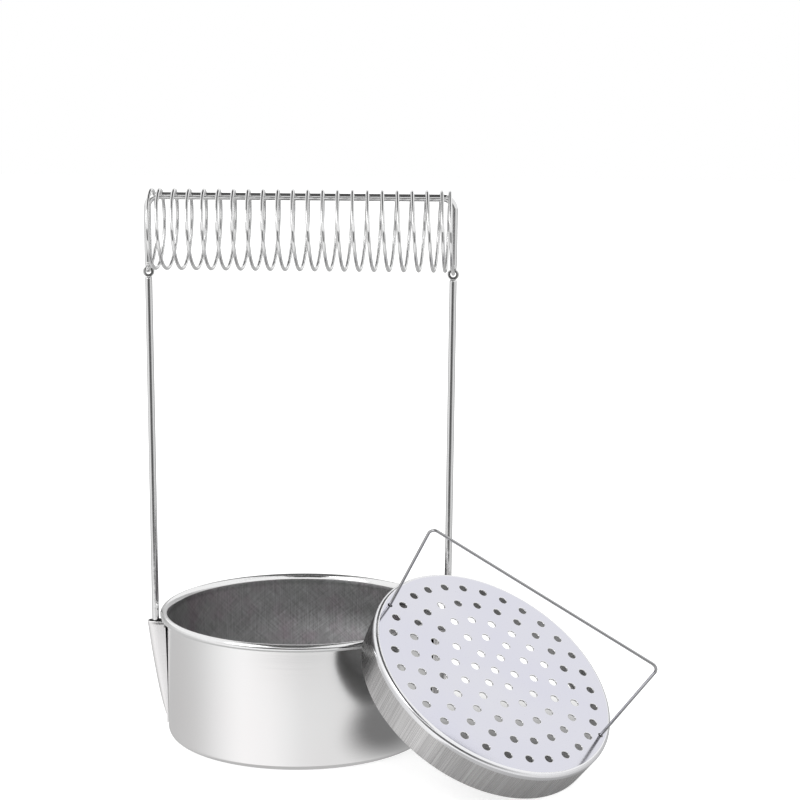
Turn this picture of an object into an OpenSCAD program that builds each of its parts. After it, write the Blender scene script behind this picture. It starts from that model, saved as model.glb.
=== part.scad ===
// Brush washer: a round drawn steel tank with a rolled rim, a wire rack that drops into two
// sockets on the tank's sides and carries a coil for holding brushes, and a perforated strainer
// cap with a wire bail, shown taken out, standing on its edge and leaning on the rim.
// Millimetres. The origin is the centre of the tank's base on the floor, +X runs along the
// rack's crossbar and +Z is up.

/* [Tank] */
// Outer radius of the tank's straight wall
tank_r = 60; // [50:0.5:75]
// Height of the tank to the top of its rolled rim
tank_h = 56.4; // [48:0.2:70]
// Sheet thickness of the tank
tank_t = 0.7; // [0.5:0.05:1]
// Outer radius of the corner between the wall and the base
base_corner_r = 3; // [2:0.1:6]
// Outer radius of the rolled rim's round section
rim_roll_r = 1.97; // [1.6:0.05:2.6]
// Slit left between the rim's curled-in edge and the wall
rim_slit = 0.35; // [0.2:0.05:0.6]

/* [Sockets] */
// Bare wall between the rolled rim and a socket's mouth
socket_drop = 3.5; // [2:0.1:8]
// Height of a socket's lower tip above the floor
socket_tip_z = 3.2; // [3:0.1:8]
// How far a socket's mouth stands out from the tank's wall
socket_reach = 9.8; // [8.6:0.1:13]
// Outer width of a socket's channel
socket_w = 6.6; // [6:0.1:9]
// Width of the flange on each side of a socket's channel
flange_w = 4.6; // [3:0.1:7]
// Sheet thickness of a socket
socket_t = 0.7; // [0.5:0.05:0.9]
// How a socket's depth grows with height, 0.5 is a parabola and 1 a straight taper
socket_curve = 0.62; // [0.5:0.01:0.8]
// Gap between a socket's flanges and the wall they are welded to
weld_gap = 0.1; // [0.06:0.01:0.2]

/* [Rack] */
// Height of the crossbar's centre line above the floor
rack_h = 241; // [200:1:300]
// Diameter of the rack's rod
rod_d = 3.2; // [2.4:0.1:3.6]
// Bend radius of the rack's corners, to the rod's centre line
rack_bend_r = 5; // [4:0.5:12]
// Room between a leg and the far side of its socket's mouth
leg_play = 1.3; // [0.8:0.1:1.8]
// How much further out each leg is at the crossbar than at its lower end
leg_splay = 1.3; // [0:0.1:4]
// Gap between a leg's end and the tapering socket where it wedges
leg_seat = 0.2; // [0.1:0.05:0.5]
// Outer diameter of the flattened eye on each leg
eye_d = 5.2; // [4.6:0.1:6.5]
// Diameter of the hole through an eye
eye_hole_d = 2.5; // [2.2:0.1:3]
// Thickness of the flattened eye
eye_t = 1.6; // [1.2:0.1:2.4]

/* [Coil] */
// Outer diameter of the brush-holding coil
coil_d = 36.2; // [28:0.2:46]
// Diameter of the coil's wire
coil_wire_d = 1.6; // [1.2:0.1:1.8]
// Turns of the coil from one eye to the other
coil_turns = 22; // [12:1:26]
// Turns at each end that are wound closer together
close_turns = 1.5; // [0.5:0.5:2.5]
// Pitch of those closer turns
close_pitch = 3.5; // [2.6:0.1:4.5]
// Gap between the coil's top and the crossbar that it hangs on
coil_bar_gap = 0.35; // [0.3:0.05:0.8]
// How far the eyes' centres lie below the lowest line of the coil's wire
eye_drop = 1.4; // [0.8:0.1:3]
// Straight tail of the coil's wire beyond the middle of an eye
coil_tail = 2.6; // [2:0.1:4]

/* [Strainer] */
// Radial room around the skirt's lower edge when the strainer stands inside the tank
strainer_play = 4.8; // [3:0.1:8]
// Height of the strainer's skirt, with the plate
strainer_h = 16.8; // [12:0.2:24]
// Sheet thickness of the strainer
strainer_t = 0.6; // [0.4:0.05:0.8]
// How far the plate's edge stands out beyond the skirt's lower edge
plate_flare = 1.5; // [0:0.1:2.4]
// Outer radius of the shoulder between the plate and the skirt
shoulder_r = 1.8; // [1.2:0.1:2.4]
// Diameter of the strainer's drain holes
drain_d = 3.6; // [2.4:0.1:5]
// Distance between one ring of drain holes and the next
drain_step = 9.51; // [7:0.1:12]
// Least distance from a drain hole's centre to the plate's edge
drain_margin = 5.5; // [4.5:0.1:9]

/* [Strainer leaning on the rim] */
// Tilt of the strainer's plate from level
lean_tilt = 35.9; // [34:0.1:48]
// Compass direction that the leaning plate faces, from +X
lean_turn = -40.9; // [-80:0.1:-20]
// Sideways offset of the strainer from the line through the tank's centre
lean_offset = 14.9; // [0:0.1:20]
// Height at which the skirt's edge passes over the top of the rim
lean_gap = 0.8; // [0.7:0.05:3]
// Turn of the bail about the plate's centre
bail_turn = 30.4; // [0:0.1:90]

/* [Bail] */
// Diameter of the bail's wire
bail_wire_d = 1.3; // [1:0.05:1.5]
// Height of the bail's crossbar above the plate
bail_h = 44.9; // [30:0.5:60]
// How much further out each leg of the bail is at its crossbar than in its hole
bail_splay = 2.5; // [0:0.1:5]
// Distance from a bail hole's centre to the plate's edge
bail_inset = 3.9; // [3.8:0.1:5]
// Diameter of the two holes that the bail passes through
bail_hole_d = 2.2; // [2:0.1:2.6]
// Bend radius of the bail's corners, to the wire's centre line
bail_bend_r = 3; // [2:0.1:8]
// Distance from the plate's mid-plane to the hooked foot's centre line
foot_drop = 1.9; // [1.8:0.1:3]
// Bend radius of the hooked foot, to the wire's centre line
foot_bend_r = 1.2; // [1:0.05:1.3]
// Length of the hooked foot
foot_l = 4; // [2:0.1:8]

/* [Hidden] */
$fn = 96;
eps = 0.01;

rod_r = rod_d / 2;
coil_wire_r = coil_wire_d / 2;
bail_wire_r = bail_wire_d / 2;

// Tank: the rim's round section is rolled outwards, flush with the wall's inner face
wall_in_r = tank_r - tank_t;
rim_centre_r = wall_in_r + rim_roll_r;
rim_centre_z = tank_h - rim_roll_r;

// Sockets: depth of the channel grows from the tip to the mouth
socket_mouth_z = tank_h - 2 * rim_roll_r - socket_drop;
socket_run = socket_mouth_z - socket_tip_z;
socket_levels = 14;
level_power = 1.6;
channel_steps = 12;
channel_power = 0.62;
tip_hollow = 0.5;
function socket_depth(q) = max(socket_t + tip_hollow, socket_reach * pow(q, socket_curve));

// Rack: a leg's end wedges where the channel gets as shallow as the leg's outer side
leg_x = tank_r + socket_reach - socket_t - leg_play - rod_r;
leg_end_depth = leg_x + rod_r - tank_r + socket_t + leg_seat;
leg_end_z = socket_tip_z + socket_run * pow(leg_end_depth / socket_reach, 1 / socket_curve);
leg_chamfer = 0.4;
leg_lean = atan(leg_splay / (rack_h - leg_end_z));
leg_l = (rack_h - rack_bend_r * (1 + sin(leg_lean)) - leg_end_z) / cos(leg_lean);
bend_x = leg_x + leg_l * sin(leg_lean) - rack_bend_r * cos(leg_lean);

// Coil: it hangs on the crossbar, and its two ends pass through the eyes
coil_r = coil_d / 2 - coil_wire_r;
coil_z = rack_h - (coil_r - coil_wire_r - rod_r - coil_bar_gap);
eye_z = coil_z - coil_r - eye_drop;
eye_x = leg_x + (eye_z - leg_end_z) * tan(leg_lean);
eye_l = leg_l - (eye_z - leg_end_z) / cos(leg_lean);
eye_touch = 0.05;
coil_end_z = eye_z + eye_hole_d / 2 - coil_wire_r - eye_touch;
rings_per_turn = 8;
wire_sides = 6;
open_pitch = (2 * eye_x - 2 * close_turns * close_pitch) / (coil_turns - 2 * close_turns);
function coil_x(u) =
    -eye_x + close_pitch * min(u, close_turns)
    + open_pitch * max(0, min(u, coil_turns - close_turns) - close_turns)
    + close_pitch * max(0, u - (coil_turns - close_turns));
function coil_point(u) =
    [coil_x(u), coil_r * sin(360 * u), coil_z - coil_r * cos(360 * u)];

// Strainer: skirt's lower edge from the tank it stands in, rings of drain holes from the plate
strainer_r = wall_in_r - strainer_play;
plate_r = strainer_r + plate_flare;
drain_rings = floor((plate_r - drain_margin) / drain_step);
plate_mid_z = -strainer_t / 2;

// Bail: its legs lean outwards; both runs are measured up a leg from the plate's middle
bail_x = plate_r - bail_inset;
bail_lean = atan(bail_splay / (bail_h - plate_mid_z));
bail_top_run = (bail_h - plate_mid_z - bail_bend_r * (1 + sin(bail_lean))) / cos(bail_lean);
bail_foot_run = (foot_bend_r * (1 - sin(bail_lean)) - foot_drop) / cos(bail_lean);
bail_bar_x = bail_x + bail_top_run * sin(bail_lean) - bail_bend_r * cos(bail_lean);
bail_foot_x = bail_x + bail_foot_run * sin(bail_lean) - foot_bend_r * cos(bail_lean);

// Lean: the skirt's lower edge stands on the floor and passes over the rim, which it meets
// on the side nearer the line through the tank's centre
edge_sin = min(1, (tank_h + lean_gap) / (strainer_r * sin(lean_tilt)) - 1);
edge_cos = sqrt(1 - edge_sin * edge_sin);
edge_side = min(abs(lean_offset - strainer_r * edge_cos), rim_centre_r);
lean_run = sqrt(rim_centre_r * rim_centre_r - edge_side * edge_side)
         + strainer_r * cos(lean_tilt) * edge_sin + strainer_h * sin(lean_tilt);
lean_z = strainer_h * cos(lean_tilt) + strainer_r * sin(lean_tilt);

// One closed tube along a list of points, with flat ends; faces are triangles. A path that lies
// in one plane gives the direction across that plane
function unit(v) = v / norm(v);
function tangent(path, i) =
    unit(path[min(i + 1, len(path) - 1)] - path[max(i - 1, 0)]);
function ring_at(path, i, r, sides, across) =
    let (t = tangent(path, i), side = is_undef(across) ? unit(cross([1, 0, 0.02], t)) : across,
         up = cross(t, side))
    [for (k = [0 : sides - 1]) path[i] + r * (cos(360 * k / sides) * side + sin(360 * k / sides) * up)];
module tube(path, r, sides, across) {
    rings = len(path);
    points = [for (i = [0 : rings - 1]) each ring_at(path, i, r, sides, across)];
    walls = [for (i = [0 : rings - 2], k = [0 : sides - 1])
        let (a = i * sides + k, b = i * sides + (k + 1) % sides)
        each [[a, b, b + sides], [a, b + sides, a + sides]]];
    start_cap = [for (k = [1 : sides - 2]) [0, k + 1, k]];
    last = (rings - 1) * sides;
    end_cap = [for (k = [1 : sides - 2]) [last, last + k, last + k + 1]];
    polyhedron(points, concat(walls, start_cap, end_cap));
}

// Wire bent about the origin in the XZ plane, from going along Z at +X to its end past +Z
module wire_corner(bend, wire, angle = 90) {
    rotate([90, 0, 0]) rotate_extrude(angle = angle) translate([bend, 0]) circle(wire);
}

// Plain rod between two heights
module upright(x, z0, z1, r) {
    translate([x, 0, z0]) cylinder(h = z1 - z0, r = r);
}

module tank_bowl() {
    color("lightgray") rotate_extrude() {
        square([tank_r - base_corner_r, tank_t]);
        translate([wall_in_r, base_corner_r]) square([tank_t, rim_centre_z - base_corner_r]);
        intersection() {
            translate([tank_r - base_corner_r, base_corner_r]) difference() {
                circle(base_corner_r);
                circle(base_corner_r - tank_t);
            }
            translate([tank_r - base_corner_r, 0]) square(base_corner_r);
        }
        translate([rim_centre_r, rim_centre_z]) difference() {
            circle(rim_roll_r);
            circle(rim_roll_r - tank_t);
            translate([-rim_roll_r, -rim_roll_r - eps])
                square([tank_r - rim_centre_r + rim_roll_r + rim_slit, rim_roll_r + eps]);
        }
    }
}

// Outline of a socket's sheet at one height, as pairs of [distance along the wall, distance out]
function channel_arc(half, depth) =
    [for (i = [0 : channel_steps])
        let (a = 180 * i / channel_steps, c = cos(a))
        [-half * sign(c) * pow(abs(c), channel_power), depth * pow(sin(a), channel_power)]];
function channel_line(half, depth, lift, side) = concat(
    [[-side, lift], [-(side + half) / 2, lift]],
    [for (p = channel_arc(half, depth)) [p[0], p[1] + lift]],
    [[(side + half) / 2, lift], [side, lift]]);
function on_wall(p, z) =
    [sqrt(pow(tank_r + weld_gap, 2) - p[0] * p[0]) + p[1], p[0], z];
function socket_ring(q) =
    let (z = socket_tip_z + socket_run * q, depth = socket_depth(q), half = socket_w / 2,
         side = half + flange_w,
         outer = channel_line(half, depth - socket_t, socket_t, side),
         inner = channel_line(half - socket_t, depth - socket_t, 0, side))
    [for (p = outer) on_wall(p, z), for (i = [len(inner) - 1 : -1 : 0]) on_wall(inner[i], z)];

// Pressed channel with a flange on each side, shut at the tip by its own taper
module socket() {
    rings = [for (i = [0 : socket_levels]) socket_ring(pow(i / socket_levels, level_power))];
    n = len(rings[0]);
    half_n = n / 2;
    walls = [for (i = [0 : socket_levels - 1], k = [0 : n - 1])
        let (a = i * n + k, b = i * n + (k + 1) % n)
        each [[a, b + n, b], [a, a + n, b + n]]];
    caps = [for (k = [0 : half_n - 2])
        let (a = k, b = k + 1, c = n - 2 - k, d = n - 1 - k, top = socket_levels * n)
        each [[a, b, c], [a, c, d], [top + a, top + c, top + b], [top + a, top + d, top + c]]];
    polyhedron([for (r = rings) each r], concat(walls, caps));
}

module left_socket() {
    color("silver") mirror([1, 0, 0]) socket();
}

module right_socket() {
    color("silver") socket();
}

// One leg with its pierced eye, hung from its bend, from the crossbar's end down to the socket
module rack_leg() {
    eye_cover = eye_d / 2 - 0.5;
    translate([bend_x, 0, rack_h - rack_bend_r]) rotate([0, leg_lean, 0]) {
        wire_corner(rack_bend_r, rod_r, 90 + leg_lean);
        upright(rack_bend_r, eye_cover - eye_l, 0, rod_r);
        upright(rack_bend_r, leg_chamfer - leg_l, -eye_l - eye_cover, rod_r);
        translate([rack_bend_r, 0, -leg_l]) cylinder(h = leg_chamfer, r1 = rod_r - leg_chamfer, r2 = rod_r);
        translate([rack_bend_r, 0, -eye_l]) rotate([90, 0, 0]) difference() {
            cylinder(h = eye_t, d = eye_d, center = true);
            cylinder(h = eye_t + 1, d = eye_hole_d, center = true);
        }
    }
}

module rack_frame() {
    color("gainsboro") {
        rack_leg();
        mirror([1, 0, 0]) rack_leg();
        translate([0, 0, rack_h]) rotate([0, 90, 0]) cylinder(h = 2 * bend_x, r = rod_r, center = true);
    }
}

// Path of the coil: straight through one eye, round and round, straight through the other
coil_rings = coil_turns * rings_per_turn;
coil_lead = eye_t / 2 + coil_wire_r;
coil_path = concat(
    [[-eye_x, -coil_tail, coil_end_z], [-eye_x, coil_lead, coil_end_z]],
    [for (i = [1 : coil_rings - 1]) coil_point(i / rings_per_turn)],
    [[eye_x, -coil_lead, coil_end_z], [eye_x, coil_tail, coil_end_z]]);
coil_gap = min([for (i = [0 : len(coil_path) - 1], j = [i + 4 : 1 : len(coil_path) - 1])
    norm(coil_path[i] - coil_path[j])]) - coil_wire_d;
echo(coil_least_gap = coil_gap);

module brush_coil() {
    color("whitesmoke") tube(coil_path, coil_wire_r, wire_sides);
}

// Puts the strainer's own frame, plate's top at zero and bail along X, in its leaning place
module leaning() {
    rotate([0, 0, lean_turn]) translate([lean_run, lean_offset, lean_z])
        rotate([0, lean_tilt, 0]) rotate([0, 0, bail_turn]) children();
}

// Half section of a cap with a rounded shoulder and a skirt that narrows downwards, top at zero
module cap_section(top_r, low_r, h, corner) {
    translate([0, -corner]) square([top_r - corner, corner]);
    polygon([[0, -h], [low_r, -h], [top_r, -corner], [0, -corner]]);
    translate([top_r - corner, -corner]) circle(corner);
}

module strainer_cap() {
    color("lavender") leaning() difference() {
        rotate_extrude() intersection() {
            difference() {
                cap_section(plate_r, strainer_r, strainer_h, shoulder_r);
                translate([0, -strainer_t])
                    cap_section(plate_r - strainer_t, strainer_r - strainer_t, strainer_h,
                                shoulder_r - strainer_t);
            }
            translate([0, -strainer_h]) square([plate_r, strainer_h]);
        }
        for (ring = [0 : drain_rings]) {
            count = max(1, 6 * ring);
            for (i = [0 : count - 1])
                rotate([0, 0, 360 * (i + (ring % 2) / 2) / count]) translate([ring * drain_step, 0, 0])
                    cylinder(h = 3 * strainer_t, d = drain_d, center = true, $fn = 32);
        }
        for (side = [-1, 1]) translate([side * bail_x, 0, 0])
            cylinder(h = 3 * strainer_t, d = bail_hole_d, center = true, $fn = 32);
    }
}

// Path of the bail: hooked foot, leg through its hole, corner, crossbar, and the same back down
function bend_arc(x, z, r, from, to, steps) =
    [for (i = [0 : steps]) let (a = from + (to - from) * i / steps) [x + r * cos(a), 0, z + r * sin(a)]];
bail_foot_z = plate_mid_z - foot_drop;
bail_half = concat(
    [[bail_foot_x - foot_l, 0, bail_foot_z]],
    bend_arc(bail_foot_x, bail_foot_z + foot_bend_r, foot_bend_r, -90, -bail_lean, 8),
    bend_arc(bail_bar_x, bail_h - bail_bend_r, bail_bend_r, -bail_lean, 90, 10));
bail_path = concat(bail_half,
    [for (i = [len(bail_half) - 1 : -1 : 0]) [-bail_half[i][0], 0, bail_half[i][2]]]);
bail_sides = 20;

module strainer_bail() {
    color("gray") leaning() tube(bail_path, bail_wire_r, bail_sides, [0, 1, 0]);
}

tank_bowl();
left_socket();
right_socket();
rack_frame();
brush_coil();
strainer_cap();
strainer_bail();
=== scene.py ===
import math

import bmesh
import bpy
from mathutils import Matrix, Vector
from mathutils.geometry import delaunay_2d_cdt


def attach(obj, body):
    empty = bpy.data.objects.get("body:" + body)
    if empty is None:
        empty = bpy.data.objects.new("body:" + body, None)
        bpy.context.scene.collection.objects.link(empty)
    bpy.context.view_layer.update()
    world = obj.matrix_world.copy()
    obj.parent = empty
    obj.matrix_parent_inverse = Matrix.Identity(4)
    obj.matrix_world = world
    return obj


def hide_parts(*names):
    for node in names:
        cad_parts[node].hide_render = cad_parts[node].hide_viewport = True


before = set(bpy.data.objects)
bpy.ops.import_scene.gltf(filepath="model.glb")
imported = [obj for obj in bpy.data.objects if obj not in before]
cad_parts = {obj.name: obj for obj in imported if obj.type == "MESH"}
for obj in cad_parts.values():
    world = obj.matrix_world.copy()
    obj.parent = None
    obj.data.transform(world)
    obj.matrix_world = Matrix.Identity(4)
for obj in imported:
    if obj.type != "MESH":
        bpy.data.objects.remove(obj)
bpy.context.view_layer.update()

# Brush washer: a steel tank with two sockets, a wire rack with a coil that drops into them, and
# a perforated strainer with a bail that leans on the tank's rim

# Sizes of the pieces are in millimetres, as in the CAD, and become metres when a mesh is made
MM = 0.001

# Tank
TANK_R = 60.0
TANK_H = 56.4
TANK_T = 0.7
TANK_SIDES = 320
BASE_CORNER_R = 3.0
WALL_IN_R = TANK_R - TANK_T

# Heights of the rings up the tank's wall and radii of those across its floor
WALL_RINGS = (4, 14, 30, 46)
WALL_TOP_Z = 51
FLOOR_EDGE_GAP = 0.4
FLOOR_RINGS = (0, 20, 40, TANK_R - BASE_CORNER_R - FLOOR_EDGE_GAP)

# Rim: the CAD's round roll becomes a bead with a flared and polished inner side here, and the
# sheet tucks in under the bead, whose curl starts at an angle from outwards
RIM_R = 1.97
RIM_CENTRE_R = WALL_IN_R + RIM_R
BEAD_R = 1.7
BEAD_X = RIM_CENTRE_R + RIM_R - BEAD_R
BEAD_Z = TANK_H - BEAD_R
BEAD_CURL = -138
BEAD_TUCK_X = BEAD_X - 0.95
BEAD_TUCK_Z = BEAD_Z - 0.35
CLOSING_TOP_Z = BEAD_Z - 0.75
FLARE_H = 4.0
FLARE_STEPS = 24
CREST_W = 2.0

# Sockets
SOCKET_DROP = 3.5
SOCKET_TIP_Z = 3.2
SOCKET_MOUTH_Z = TANK_H - 2 * RIM_R - SOCKET_DROP
SOCKET_RISE = SOCKET_MOUTH_Z - SOCKET_TIP_Z
SOCKET_REACH = 9.8
SOCKET_W = 6.6
FLANGE_W = 4.6
SOCKET_T = 0.7
SOCKET_STEPS = 44
WELD_GAP = 0.1

# How a socket's rings crowd towards its tip, how it deepens from tip to mouth, how square its
# channel is, how deep it is at the tip, and how far its flanges spring from the wall at the mouth
RING_POWER = 1.5
SOCKET_CURVE = 0.62
CHANNEL_POWER = 0.62
TIP_HOLLOW = 0.5
FLANGE_STEPS = 4
FLANGE_SPRING = 1.0
SPRING_POWER = 1.5

# A socket's rounded lip: how far below the mouth, as a share of its height, and the inset there
LIP_H = 0.22
LIP_INSETS = ((1.0, 0.0), (0.45, 0.07), (0.0, 0.2))

# Rack
RACK_H = 241.0
ROD_R = 1.6
ROD_SIDES = 40
RACK_BEND_R = 5.0
LEG_PLAY = 1.3
LEG_SPLAY = 1.3
LEG_SEAT = 0.2
LEG_X = TANK_R + SOCKET_REACH - SOCKET_T - LEG_PLAY - ROD_R
LEG_END_DEPTH = LEG_X + ROD_R - TANK_R + SOCKET_T + LEG_SEAT
LEG_END_Z = SOCKET_TIP_Z + SOCKET_RISE * (LEG_END_DEPTH / SOCKET_REACH) ** (1 / SOCKET_CURVE)
LEG_LEAN = math.atan(LEG_SPLAY / (RACK_H - LEG_END_Z))

# Rings along the rod: distance from a leg's end and share of the full section, to round the
# end, then even steps up the leg, the least distance to the bend, and steps along the crossbar
ROD_END = ((0, 0.72), (0.12, 0.87), (0.25, 0.96), (0.4, 1.0))
LEG_RINGS = range(4, 164, 8)
BEND_GAP = 1
BAR_STEPS = 12

# Eyes of the rack
EYE_R = 2.6
EYE_HOLE_R = 1.25
EYE_HALF_T = 0.8
EYE_NECK_R = 1.45
EYE_DROP = 1.4

# Distances from an eye's centre: where the rod is round again, and over which it turns from
# flat to round below and above; a height far from both eyes stands for the rest of the rod
EYE_ZONE = 5
EYE_BELOW = (2.35, 3.1)
EYE_ABOVE = (2.3, 4.4)
EYE_SQUARE = 0.5
EYE_STEP = 0.18
EYE_RINGS = 28
NO_EYE = 99

# The drill that cuts the eyes, in half length and sides, and the angle from which edges stay sharp
DRILL_REACH = 3
DRILL_SIDES = 48
EYE_SHARP = 38

# Coil
COIL_W = 36.2
COIL_WIRE_R = 0.8
COIL_R = COIL_W / 2 - COIL_WIRE_R
COIL_TURNS = 22
COIL_STEPS = 44
COIL_WIRE_SIDES = 16
CLOSE_TURNS = 1.5
CLOSE_PITCH = 3.5
COIL_BAR_GAP = 0.35
COIL_Z = RACK_H - (COIL_R - COIL_WIRE_R - ROD_R - COIL_BAR_GAP)
EYE_Z = COIL_Z - COIL_R - EYE_DROP
EYE_X = LEG_X + (EYE_Z - LEG_END_Z) * math.tan(LEG_LEAN)
COIL_END_GAP = 0.05
COIL_END_Z = EYE_Z + EYE_HOLE_R - COIL_WIRE_R - COIL_END_GAP

# Share of a turn that each end leaves out of the helix, and the end's own points from its
# hooked tip through an eye: inwards along the crossbar, through, up
COIL_LEAD = 0.09
COIL_END = ((0.5, -3.2, 1.6), (0.15, -3.0, 0.7), (0, -2.2, 0.05), (0, -1.2, 0),
            (0, 0, 0), (0, 1.2, 0), (0, 2.4, 0.12))
CURVE_STEPS = 6

# Strainer, in its own frame: plate's top at zero, bail along X
STRAINER_PLAY = 4.8
PLATE_FLARE = 1.5
STRAINER_R = WALL_IN_R - STRAINER_PLAY
PLATE_R = STRAINER_R + PLATE_FLARE
STRAINER_H = 16.8
STRAINER_T = 0.6
STRAINER_SIDES = 288
SHOULDER_R = 1.8
FLAT_R = PLATE_R - SHOULDER_R
SKIRT_RINGS = (0.1, 0.3, 0.5, 0.7, 0.9)
SKIRT_LIP_R = 0.28
DRAIN_R = 1.75
DRAIN_STEP = 9.51
DRAIN_RINGS = 5

# Holes: the punched edge above, and the edge below as a share of it, with its middle point
HOLE_SIDES = 36
PUNCH_R = 0.35
PUNCH_STEPS = 5
UNDER_SHARE = 0.35
UNDER_MIDDLE = 0.3

# Bail
BAIL_R = 0.65
BAIL_SIDES = 20
BAIL_INSET = 3.9
BAIL_X = PLATE_R - BAIL_INSET
BAIL_H = 44.9
BAIL_SPLAY = 2.5
BAIL_HOLE_R = 1.1
BAIL_PUNCH_R = 0.08
BAIL_BEND_R = 3.0
FOOT_DROP = 1.9
FOOT_Z = -STRAINER_T / 2 - FOOT_DROP
FOOT_BEND_R = 1.2
FOOT_L = 4.0

# The strainer's lean on the rim, worked out as in the CAD
LEAN_TILT = math.radians(35.9)
LEAN_TURN = math.radians(-40.9)
LEAN_OFFSET = 14.9
LEAN_GAP = 0.8
BAIL_TURN = math.radians(30.4)
edge_sin = (TANK_H + LEAN_GAP) / (STRAINER_R * math.sin(LEAN_TILT)) - 1
edge_cos = math.sqrt(1 - edge_sin ** 2)
edge_side = abs(LEAN_OFFSET - STRAINER_R * edge_cos)
lean_run = (math.sqrt(RIM_CENTRE_R ** 2 - edge_side ** 2)
            + STRAINER_R * math.cos(LEAN_TILT) * edge_sin + STRAINER_H * math.sin(LEAN_TILT))
lean_z = STRAINER_H * math.cos(LEAN_TILT) + STRAINER_R * math.sin(LEAN_TILT)
LEANING = (Matrix.Rotation(LEAN_TURN, 4, "Z")
           @ Matrix.Translation(Vector((lean_run, LEAN_OFFSET, lean_z)) * MM)
           @ Matrix.Rotation(LEAN_TILT, 4, "Y")
           @ Matrix.Rotation(BAIL_TURN, 4, "Z"))

# Camera of the photograph, fitted to the rim, the rack and the strainer; its clip is in metres
CAMERA_PLACE = Vector((81.65, -842.78, 284.48))
CAMERA_PITCH = math.radians(8.95)
CAMERA_YAW = math.radians(-2.54)
CAMERA_ROLL = math.radians(0.37)
CAMERA_LENS = 86.593
CAMERA_SENSOR_W = 36
CAMERA_CLIP = (0.01, 50)


def add_camera():
    """Camera that looks along its own -Z; pitch is downwards and yaw to the right."""
    ahead = Vector((math.sin(CAMERA_YAW) * math.cos(CAMERA_PITCH),
                    math.cos(CAMERA_YAW) * math.cos(CAMERA_PITCH),
                    -math.sin(CAMERA_PITCH)))
    right = Vector((math.cos(CAMERA_YAW), -math.sin(CAMERA_YAW), 0))
    up = right.cross(ahead)
    cam_x = math.cos(CAMERA_ROLL) * right + math.sin(CAMERA_ROLL) * up
    cam_y = -math.sin(CAMERA_ROLL) * right + math.cos(CAMERA_ROLL) * up
    data = bpy.data.cameras.new("camera")
    data.sensor_width = CAMERA_SENSOR_W
    data.lens = CAMERA_LENS
    data.clip_start, data.clip_end = CAMERA_CLIP
    cam = bpy.data.objects.new("camera", data)
    turn = Matrix((cam_x, cam_y, -ahead)).transposed().to_4x4()
    cam.matrix_world = Matrix.Translation(CAMERA_PLACE * MM) @ turn
    bpy.context.scene.collection.objects.link(cam)
    bpy.context.scene.camera = cam


add_camera()


# Mesh tools

# A wire's end is closed by three rings, a turn apart, and bulges by a share of its radius
WIRE_END_TURN = math.pi / 7
WIRE_END_BULGE = 0.5
SAME_POINT = 1e-4


def link(name, mesh, place=None):
    """Adds a mesh to the scene as an object."""
    obj = bpy.data.objects.new(name, mesh)
    bpy.context.scene.collection.objects.link(obj)
    if place is not None:
        obj.matrix_world = place
    return obj


def finish_mesh(name, bm, materials, place=None, sharp=None):
    """Turns a bmesh in millimetres into an object in metres, with smooth shading; edges that
    bend by more than sharp, in degrees, stay sharp."""
    bmesh.ops.scale(bm, vec=(MM, MM, MM), verts=bm.verts)
    bmesh.ops.recalc_face_normals(bm, faces=bm.faces)
    for face in bm.faces:
        face.smooth = True
    mesh = bpy.data.meshes.new(name)
    bm.to_mesh(mesh)
    bm.free()
    if sharp is not None:
        mesh.set_sharp_from_angle(angle=math.radians(sharp))
    for mat in materials:
        mesh.materials.append(mat)
    return link(name, mesh, place)


def circle(count, start=0.0):
    """Angles spread evenly round a circle."""
    return [start + 2 * math.pi * k / count for k in range(count)]


def arc(cx, cy, r, a0, a1, steps):
    """Points on an arc, angles in degrees, both ends included."""
    return [(cx + r * math.cos(math.radians(a0 + (a1 - a0) * i / steps)),
             cy + r * math.sin(math.radians(a0 + (a1 - a0) * i / steps))) for i in range(steps + 1)]


def neighbours(points, i):
    """The points before and after one, or the point itself where the line ends."""
    return points[max(i - 1, 0)], points[min(i + 1, len(points) - 1)]


def tangent(path, i):
    """Direction of a path at one of its points."""
    before, after = neighbours(path, i)
    return (after - before).normalized()


def bridge(bm, a, b, closed=True, index=0, uv=None):
    """Quads between two rings of as many vertices; uv gives (u step, v of a, v of b)."""
    n = len(a)
    made = []
    layer = bm.loops.layers.uv.verify()
    for k in range(n if closed else n - 1):
        k2 = (k + 1) % n
        face = bm.faces.new((a[k], a[k2], b[k2], b[k]))
        face.material_index = index
        made.append(face)
        if uv:
            du, va, vb = uv
            for loop, (column, v) in zip(face.loops, ((k, va), (k + 1, va), (k + 1, vb), (k, vb))):
                loop[layer].uv = (column * du, v)
    return made


def zoned(runs):
    """Joins runs of (material index, points) into one profile and a list of its indexes."""
    profile, zones = [], []
    for zone, points in runs:
        profile += points
        zones += [zone] * len(points)
    return profile, zones


def revolve(bm, profile, zones, segments, start=0.0):
    """Turns a list of (radius, height) about Z. A radius of zero becomes one point.
    The UVs are in metres, measured round the tank's wall."""
    rings = []
    for r, z in profile:
        if r == 0:
            rings.append([bm.verts.new((0, 0, z))])
        else:
            rings.append([bm.verts.new((r * math.cos(t), r * math.sin(t), z))
                          for t in circle(segments, start)])
    length = 0.0
    layer = bm.loops.layers.uv.verify()
    for i, (a, b) in enumerate(zip(rings, rings[1:])):
        step = math.dist(profile[i], profile[i + 1])
        if len(a) > 1 and len(b) > 1:
            bridge(bm, a, b, index=zones[i],
                   uv=(2 * math.pi * TANK_R * MM / segments, length * MM, (length + step) * MM))
        else:
            hub, ring = (a[0], b) if len(a) == 1 else (b[0], a)
            for k in range(segments):
                face = bm.faces.new((hub, ring[k], ring[(k + 1) % segments]))
                face.material_index = zones[i]
                for loop in face.loops:
                    loop[layer].uv = (loop.vert.co.x * MM, loop.vert.co.y * MM)
        length += step
    return rings


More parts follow.
